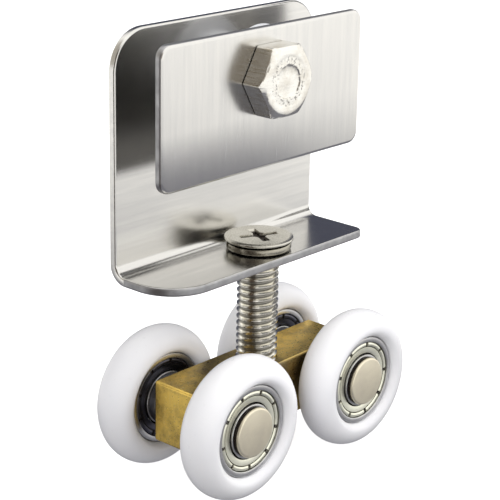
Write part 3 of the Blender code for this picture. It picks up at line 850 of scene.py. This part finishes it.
def build_spring_washer(look):
    """Split ring of square wire whose ends stand apart in height."""
    low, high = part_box("spring_washer")
    bore, outside, thick = 3.1 * MM, 4.6 * MM, 0.85 * MM
    start, split = math.radians(150), math.radians(9)
    steps = 140
    corners = [
        (bore, 0, 0.1 * MM),
        (outside, 0, 0.16 * MM),
        (outside, thick, 0.16 * MM),
        (bore, thick, 0.1 * MM),
    ]
    section = fillet(corners, True, 3)
    bm = bmesh.new()
    rings = []
    for step in range(steps + 1):
        share = step / steps
        angle = start + split / 2 + (2 * math.pi - split) * share
        lift = low.z + (high.z - low.z - thick) * share
        rings.append([bm.verts.new(around(radius, angle, lift + up)) for radius, up in section])
    join_rings(bm, rings)
    bm.faces.new(reversed(rings[0]))
    bm.faces.new(rings[-1])
    add_piece("spring_washer_ring", bm, look, "riser", ["spring_washer"])


# The levels of a bolt's head or a nut are functions of the angle that return (radius, height)


def hex_radius(angle):
    """Distance from the axis to the hexagon's side, with its corners slightly rounded."""
    sector, blunt = math.radians(60), 0.985
    away = (angle % sector) - sector / 2
    corner = HEX_ACROSS / 2 / math.cos(sector / 2) * blunt
    return min(HEX_ACROSS / 2 / math.cos(away), corner)


def hex_level(inset, height):
    """A hexagonal ring whose sides are set in."""
    return lambda angle: (hex_radius(angle) - inset, height)


def round_level(radius, height):
    """A round ring."""
    return lambda angle: (radius, height)


def chamfer_level(top, inset=0.0, drop=0.0):
    """A hexagonal ring that sinks towards its corners, as the round chamfer cuts it."""

    def level(angle):
        radius = hex_radius(angle)
        return radius - inset, min(top - (radius - HEX_FLAT) * HEX_SLOPE - drop, top - 0.2 * MM)

    return level


def hex_rows(bm, levels):
    """Makes a ring of vertices at each level and joins them."""
    angles = [2 * math.pi * step / FINE_STEPS for step in range(FINE_STEPS)]
    rings = []
    for level in levels:
        points = [(angle, *level(angle)) for angle in angles]
        rings.append([bm.verts.new(around(radius, angle, up)) for angle, radius, up in points])
    join_rings(bm, rings)
    return rings


def worn_edge():
    """An uneven edge as a function of the angle."""
    seed, count, depth = 7, 48, 0.07 * MM
    rough = random.Random(seed)
    edge = [rough.uniform(-1, 1) for _ in range(count)]

    def wobble(angle):
        place = angle / (2 * math.pi) * count
        first = int(place) % count
        share = place - int(place)
        return (edge[first] * (1 - share) + edge[(first + 1) % count] * share) * depth

    return wobble


def build_bolt(look):
    """Hex head with a shallow dished recess; the shank carries a real thread."""
    low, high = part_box("clamp_bolt")
    gap = 0.1 * MM  # shows as a dark line between head and plate
    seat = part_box("clamp_plate")[0].y - gap
    top = seat - low.y
    wobble = worn_edge()

    def dished(radius, depth):
        return lambda angle: (radius + wobble(angle), top - depth)

    levels = [
        hex_level(0.1 * MM, 0),
        hex_level(0, 0.1 * MM),
        chamfer_level(top, drop=0.12 * MM),
        chamfer_level(top, inset=0.08 * MM),
        round_level(HEX_FLAT, top - 0.04 * MM),
        round_level(HEX_FLAT - 0.2 * MM, top),
        round_level(3.5 * MM, top - 0.05 * MM),
        round_level(3.2 * MM, top - 0.08 * MM),
        dished(2.62 * MM, 0.02 * MM),
        dished(2.42 * MM, 0.03 * MM),
        dished(2.28 * MM, 0.2 * MM),
        round_level(1.9 * MM, top - 0.26 * MM),
        round_level(0.9 * MM, top - 0.22 * MM),
    ]
    bm = bmesh.new()
    rings = hex_rows(bm, levels)
    centre = bm.verts.new((0, 0, top - 0.2 * MM))
    join_rings(bm, [rings[-1], [centre] * len(rings[-1])])
    bm.faces.new(reversed(rings[0]))
    shank = bmesh.new()
    thread_mesh(shank, -(high.y - seat), -0.01 * MM, 0.3 * MM)
    pour(shank, bm)
    move(bm, Matrix.Translation((0, seat, bolt_height())) @ ALONG_Y)
    add_piece("clamp_bolt_body", bm, look, "bolt", ["clamp_bolt"], 28)


def build_nut(look):
    """Hexagon chamfered on its outer side only, with a smooth bore."""
    low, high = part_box("clamp_nut")
    top = high.y - low.y
    mouth = 3.4 * MM
    levels = [
        round_level(THREAD_BORE, 0.3 * MM),
        round_level(mouth, 0),
        hex_level(0.12 * MM, 0),
        hex_level(0, 0.12 * MM),
        chamfer_level(top),
        round_level(HEX_FLAT, top - 0.03 * MM),
        round_level(HEX_FLAT - 0.2 * MM, top),
        round_level(mouth, top),
        round_level(THREAD_BORE, top - 0.3 * MM),
        round_level(THREAD_BORE, 0.3 * MM),
    ]
    bm = bmesh.new()
    hex_rows(bm, levels)
    bmesh.ops.remove_doubles(bm, verts=bm.verts, dist=1e-7)
    move(bm, Matrix.Translation((0, low.y, bolt_height())) @ ALONG_Y.inverted())
    add_piece("clamp_nut_body", bm, look, "bracket", ["clamp_nut"], 28)


def build_bush(look):
    """Flanged sleeve between the clamp plate and the back plate."""
    low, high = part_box("clamp_bush")
    length = high.y - low.y
    flange, flange_thick, sleeve = 7.1 * MM, 0.85 * MM, 5.0 * MM
    corners = [
        (CLAMP_BORE, 0, 0.15 * MM),
        (flange, 0, 0.25 * MM),
        (flange, -flange_thick, 0.25 * MM),
        (sleeve, -flange_thick, 0.15 * MM),
        (sleeve, -length, 0.2 * MM),
        (CLAMP_BORE, -length, 0.15 * MM),
    ]
    outline = fillet(corners, True)
    place = (0, low.y, bolt_height())
    turned("clamp_bush_body", outline, SMALL_STEPS, place, look, "clamp", ["clamp_bush"])


def build_block(look):
    """Brass bar with softened edges, a hole up through it for the screw and two cross holes."""
    low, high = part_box("carriage_block")
    middle = (low + high) / 2
    bm = bmesh.new()
    bmesh.ops.create_cube(bm, size=1)
    bmesh.ops.scale(bm, vec=high - low, verts=bm.verts)
    bmesh.ops.translate(bm, vec=middle, verts=bm.verts)
    edges = bm.edges[:]
    bmesh.ops.bevel(bm, geom=edges, offset=0.4 * MM, segments=4, profile=0.5, affect="EDGES")
    tools = [cylinder(THREAD_BORE, 12 * MM, middle, Matrix.Identity(4))]
    for name in ("axle_left", "axle_right"):
        pin_low, pin_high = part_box(name)
        place = ((pin_low.x + pin_high.x) / 2, 0, middle.z)
        tools.append(cylinder(PIN_BORE, 12 * MM, place, ALONG_Y))
    mesh = carved(bm, tools)
    add_mesh("carriage_block_bar", mesh, look, "carriage", ["carriage_block"])


def build_axle(name, look):
    """Pin whose ends are upset into low round heads over the inner rings."""
    low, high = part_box(name)
    end = high.y
    under = 0.74 * MM
    corners = [
        (0, -end),
        (PIN_HEAD, -end, 0.3 * MM),
        (PIN_HEAD, -end + under, 0.08 * MM),
        (PIN_SHANK, -end + under, 0.0),
        (PIN_SHANK, end - under, 0.0),
        (PIN_HEAD, end - under, 0.08 * MM),
        (PIN_HEAD, end, 0.3 * MM),
        (0, end),
    ]
    outline = fillet(corners, False, 6)
    place = ((low.x + high.x) / 2, 0, (low.z + high.z) / 2)
    turned(
        f"{name}_pin", outline, SMALL_STEPS, place, look,
        "carriage", [name], closed=False,
    )


def tyre_outline():
    """Elliptical crown with flanks that slope in to the bearing's face, from -Z round to +Z."""
    half, rim, lip, knee = 3.0 * MM, 6.6 * MM, 2.15 * MM, 7.0 * MM
    depth = 2.5 * MM
    shoulder = 10.2 * MM - depth
    crown = [(shoulder + depth * out, half * side) for out, side in arc((0, 0), 1, -90, 90, 44)]
    flank = []
    for step in range(1, 13):
        share = step / 12
        first, second, third = (1 - share) ** 2, 2 * share * (1 - share), share**2
        radius = first * shoulder + second * knee + third * rim
        flank.append((radius, (first + second) * half + third * lip))
    return [(radius, -height) for radius, height in reversed(flank)] + crown + flank


def ring_outline(radii, race):
    """A bearing ring's section; race is the side on which the ball groove is cut."""
    inner, outer = radii
    low, high, edge = -RING_HALF, RING_HALF, RING_EDGE
    if race == "inside":
        track = arc((BALL_CIRCLE, 0), BALL_GROOVE, 33, -33, 8)
        corners = [(outer, low, edge), (outer, high, edge), (inner, high, edge)]
        tail = [(inner, low, edge)]
    else:
        track = arc((BALL_CIRCLE, 0), BALL_GROOVE, 213, 147, 8)
        corners = [(inner, high, edge), (inner, low, edge), (outer, low, edge)]
        tail = [(outer, high, edge)]
    return fillet(corners + track + tail, True)


def shield_outline():
    """Pressed disc from its crimped outer lip to its turned-in inner edge, front face first."""
    points = [(5.69, -0.12)]
    for step in range(9):
        angle = math.pi * step / 8
        points.append((5.35 + 0.29 * math.cos(angle), 0.02 + 0.13 * math.sin(angle)))
    points += [(5.03, -0.08), (4.97, -0.08), (4.92, 0.03), (4.22, 0.03), (4.1, 0.0)]
    points += [(4.05, -0.06), (4.05, -0.15), (5.69, -0.15)]
    return [(radius * MM, height * MM) for radius, height in points]


def notched(turn):
    """Lowers a lip at evenly spaced notches, the first at turn, and paints shade into the notches
    and into the lines beside the lip.
    """
    pitch = 2 * math.pi / NOTCHES

    def depth(row, angle):
        away = abs((angle - turn + pitch / 2) % pitch - pitch / 2)
        if row in LIP_ROWS and away < NOTCH_HALF:
            return NOTCH_DROP, 1.0
        return 0.0, 1.0 if row in SHADED_ROWS else 0.0

    return depth


def build_shield(label, which, turn, look):
    """A bearing's outer or inner shield, its front turned away from the wheel's middle."""
    node = f"{label}_{which}_shield"
    low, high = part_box(node)
    depth = notched(math.radians(FIRST_NOTCH[label]))
    turned(
        f"shield_{which}_{label}", shield_outline(), FINE_STEPS, (low + high) / 2, look,
        f"wheel_{label}", [node], turn=turn, depth=depth,
    )


def build_spacer(label, look):
    """The short tube between the block and a bearing's inner ring."""
    node = f"{label}_spacer"
    low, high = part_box(node)
    half = (high.y - low.y) / 2
    bore, outside = 3.0 * MM, 3.75 * MM
    corners = [
        (bore, -half, 0.08 * MM),
        (outside, -half, 0.12 * MM),
        (outside, half, 0.12 * MM),
        (bore, half, 0.08 * MM),
    ]
    outline = fillet(corners, True)
    place = (low + high) / 2
    turned(
        f"spacer_{label}", outline, SMALL_STEPS, place, look,
        "carriage", [node],
    )


def build_wheel(label, outward, looks):
    """A tyre, its bearing and the spacer behind it; the balls and cage keep their CAD shape."""
    low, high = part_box(f"{label}_tyre")
    place = (low + high) / 2
    wheel = f"wheel_{label}"
    turned(
        f"tyre_{label}", tyre_outline(), TYRE_STEPS, place, looks["tyre"],
        wheel, [f"{label}_tyre"],
    )
    turned(
        f"bearing_outer_{label}", ring_outline(OUTER_RING, "inside"), RING_STEPS, place,
        looks["rings"], wheel, [f"{label}_outer_ring"],
    )
    turned(
        f"bearing_inner_{label}", ring_outline(INNER_RING, "outside"), SMALL_STEPS, place,
        looks["rings"], "carriage", [f"{label}_inner_ring"],
    )
    build_shield(label, "outer", outward, looks["outer"])
    build_shield(label, "inner", outward.inverted(), looks["inner"])
    build_spacer(label, looks["rings"])
    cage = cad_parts[f"{label}_ball_cage"]
    cage.data.materials.clear()
    cage.data.materials.append(looks["balls"])


# ---------------------------------------------------------------- stage


def add_camera():
    azimuth, elevation, roll = CAMERA_AZIMUTH, CAMERA_ELEVATION, CAMERA_ROLL
    flat = math.cos(elevation)
    back = Vector((math.sin(azimuth) * flat, -math.cos(azimuth) * flat, math.sin(elevation)))
    level = Vector((math.cos(azimuth), math.sin(azimuth), 0))
    upright = back.cross(level)
    right = math.cos(roll) * level + math.sin(roll) * upright
    up = -math.sin(roll) * level + math.cos(roll) * upright
    place = CAMERA_TARGET + back * CAMERA_DISTANCE
    data = bpy.data.cameras.new("camera")
    data.sensor_width = CAMERA_SENSOR
    data.lens = CAMERA_LENS
    data.shift_x, data.shift_y = CAMERA_SHIFT
    data.clip_start = 0.01
    data.clip_end = 50
    camera = bpy.data.objects.new("camera", data)
    columns = Matrix((right, up, back)).transposed()
    camera.matrix_world = Matrix.Translation(place) @ columns.to_4x4()
    show(camera)
    bpy.context.scene.camera = camera


# The softboxes, as (name, place, aim, side of the square, watts, colour)
SOFTBOXES = (
    ("key_light", (-0.004, -0.045, 0.045), (-0.002, 0, 0.01), 0.03, 0.0088, (1.0, 0.995, 0.99)),
    ("side_light", (-0.6, -0.2, 0.3), (0, 0, 0.03), 0.5, 1.6, (1.0, 0.99, 0.98)),
    ("fill_light", (0.6, -0.2, 0.35), (0, 0, 0.02), 0.6, 2.3, (1.0, 1.0, 1.0)),
    ("top_light", (0.05, 0.05, 0.8), (0, 0, 0), 0.8, 0.2, (0.98, 0.99, 1.0)),
)
# The room round the set, as (aim, cosine where a zone starts, cosine where it is full, colour)
ROOM_ZONES = (
    ((0.71, 0.63, 0.33), 0.72, 0.92, (0.085, 0.09, 0.125)),
    ((-0.68, -0.64, 0.34), 0.86, 0.975, (0.27, 0.235, 0.195)),
    ((-0.62, 0.63, 0.50), 0.80, 0.95, (0.56, 0.52, 0.45)),
    ((-0.98, -0.15, -0.1), 0.87, 0.95, (0.08, 0.06, 0.05)),
    ((-0.85, -0.13, 0.5), 0.89, 0.96, (0.10, 0.08, 0.07)),
    ((-0.79, -0.12, -0.6), 0.87, 0.95, (0.08, 0.06, 0.05)),
)
ROOM_WALL = (1.42, 1.40, 1.36)
ROOM_TABLE = (0.24, 0.24, 0.27)
# The sines of the elevations between which the wall gives way to the table
TABLE_EDGE = (-0.39, -0.24)
# The soft glow that lights the nylon: its colour below and above, and where the one turns into
# the other, again as sines of elevations
GLOW_LOW = (0.31, 0.31, 0.325)
GLOW_HIGH = (0.65, 0.65, 0.65)
GLOW_EDGE = (-0.4, 0.25)


def add_softbox(name, place, aim, side, watts, colour):
    """A square light that metal doesn't mirror and the camera doesn't see."""
    data = bpy.data.lights.new(name, "AREA")
    data.shape = "SQUARE"
    data.size = side
    data.energy = watts
    data.color = colour
    light = bpy.data.objects.new(name, data)
    light.location = place
    light.rotation_euler = (Vector(place) - Vector(aim)).to_track_quat("Z", "Y").to_euler()
    light.visible_camera = False
    light.visible_glossy = False
    show(light)


def room_colour(nodes, direction, height):
    """A bright wall over a darker table, with a few dim stretches that show in the metal."""
    colour = nodes.blend(nodes.smooth(height, *TABLE_EDGE), ROOM_TABLE, ROOM_WALL)
    for aim, start, full, shade in ROOM_ZONES:
        dot = nodes.new("VectorMath")
        dot.operation = "DOT_PRODUCT"
        dot.inputs[1].default_value = Vector(aim).normalized()
        nodes.link(direction, dot.inputs[0])
        colour = nodes.blend(nodes.smooth(dot.outputs["Value"], start, full), colour, shade)
    return colour


def add_room():
    """The room for reflections, a softer glow for diffuse light, and plain white for the camera."""
    world = bpy.data.worlds.new("studio")
    bpy.context.scene.world = world
    world.use_nodes = True
    nodes = Nodes(world.node_tree)
    direction = nodes.new("TexCoord").outputs["Generated"]
    height = nodes.split(direction)["Z"]
    room = nodes.tree.nodes["Background"]
    nodes.feed(room.inputs["Color"], room_colour(nodes, direction, height))
    glow = nodes.new("Background")
    share = nodes.smooth(height, *GLOW_EDGE)
    nodes.feed(glow.inputs["Color"], nodes.blend(share, GLOW_LOW, GLOW_HIGH))
    plain = nodes.new("Background")
    nodes.feed(plain.inputs["Color"], (1, 1, 1))
    rays = nodes.new("LightPath").outputs
    shader = nodes.either(rays["Is Diffuse Ray"], room, glow)
    shader = nodes.either(rays["Is Camera Ray"], shader, plain)
    nodes.link(shader.outputs[0], nodes.tree.nodes["World Output"].inputs["Surface"])


def add_floor():
    """A floor just under the wheels; it shows in no reflection and lights nothing."""
    bm = bmesh.new()
    bmesh.ops.create_grid(bm, x_segments=2, y_segments=2, size=3.0)
    mesh = bpy.data.meshes.new("floor")
    bm.to_mesh(mesh)
    bm.free()
    mesh.materials.append(floor_look())
    floor = bpy.data.objects.new("floor", mesh)
    floor.location.z = -0.05 * MM
    floor.visible_glossy = False
    floor.visible_diffuse = False
    show(floor)


def main():
    add_camera()
    add_room()
    add_floor()
    for softbox in SOFTBOXES:
        add_softbox(*softbox)
    looks = make_looks()
    build_bracket(looks["bracket"], looks["rim"])
    build_clamp_plate(looks["clamp"], looks["rim"])
    build_bolt(looks["bolt"])
    build_nut(looks["bolt"])
    build_bush(looks["bush"])
    build_screw(looks["screw"])
    build_spring_washer(looks["washer"])
    build_block(brass_look())
    build_axle("axle_left", looks["pins"])
    build_axle("axle_right", looks["pins"])
    for end, outward in (("front", ALONG_Y), ("rear", ALONG_Y.inverted())):
        for side in ("left", "right"):
            build_wheel(f"{end}_{side}", outward, looks)
    bpy.context.scene.view_settings.view_transform = "Standard"


main()
